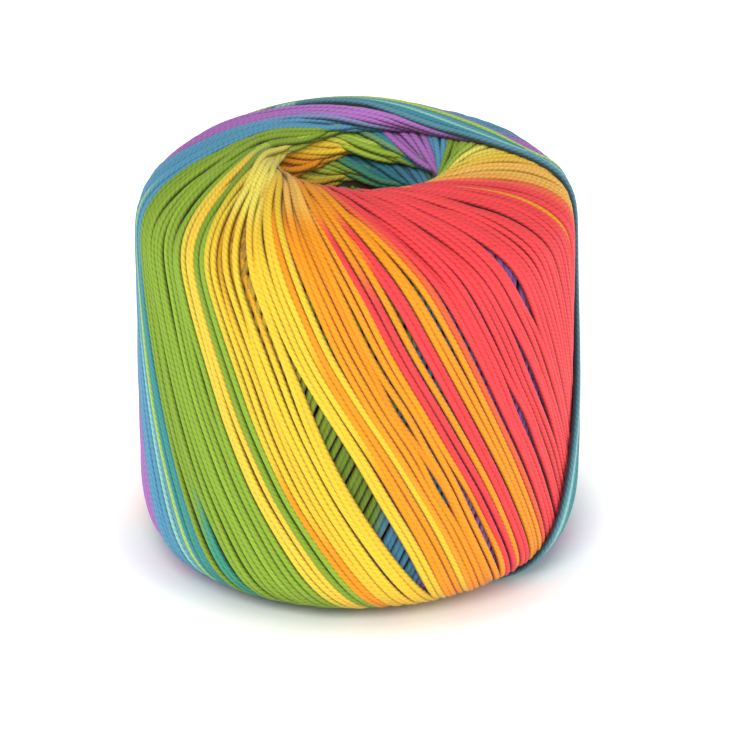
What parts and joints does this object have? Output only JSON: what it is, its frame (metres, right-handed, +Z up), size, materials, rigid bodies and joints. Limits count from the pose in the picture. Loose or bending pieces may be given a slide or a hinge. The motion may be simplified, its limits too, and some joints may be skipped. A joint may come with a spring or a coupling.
{
  "type": "ball of knitting yarn",
  "caption": "Machine-wound ball of rainbow knitting yarn with slanting turns, rounded ends and a funnel-shaped bore along its axis, standing on its flat lower end.",
  "frame": {"origin": "middle of the flat lower end, on the axis of the bore", "axes": "+Z up along the bore, -Y towards the side that the picture shows, +X to the right of it"},
  "size_m": [0.0753, 0.0742, 0.0726],
  "materials": {
    "yarn": "matte spun fibre, dyed in long runs of purple, blue, green, yellow, orange and red"
  },
  "bodies": {
    "root": {"wound_ball": "yarn"}
  },
  "joints": []
}
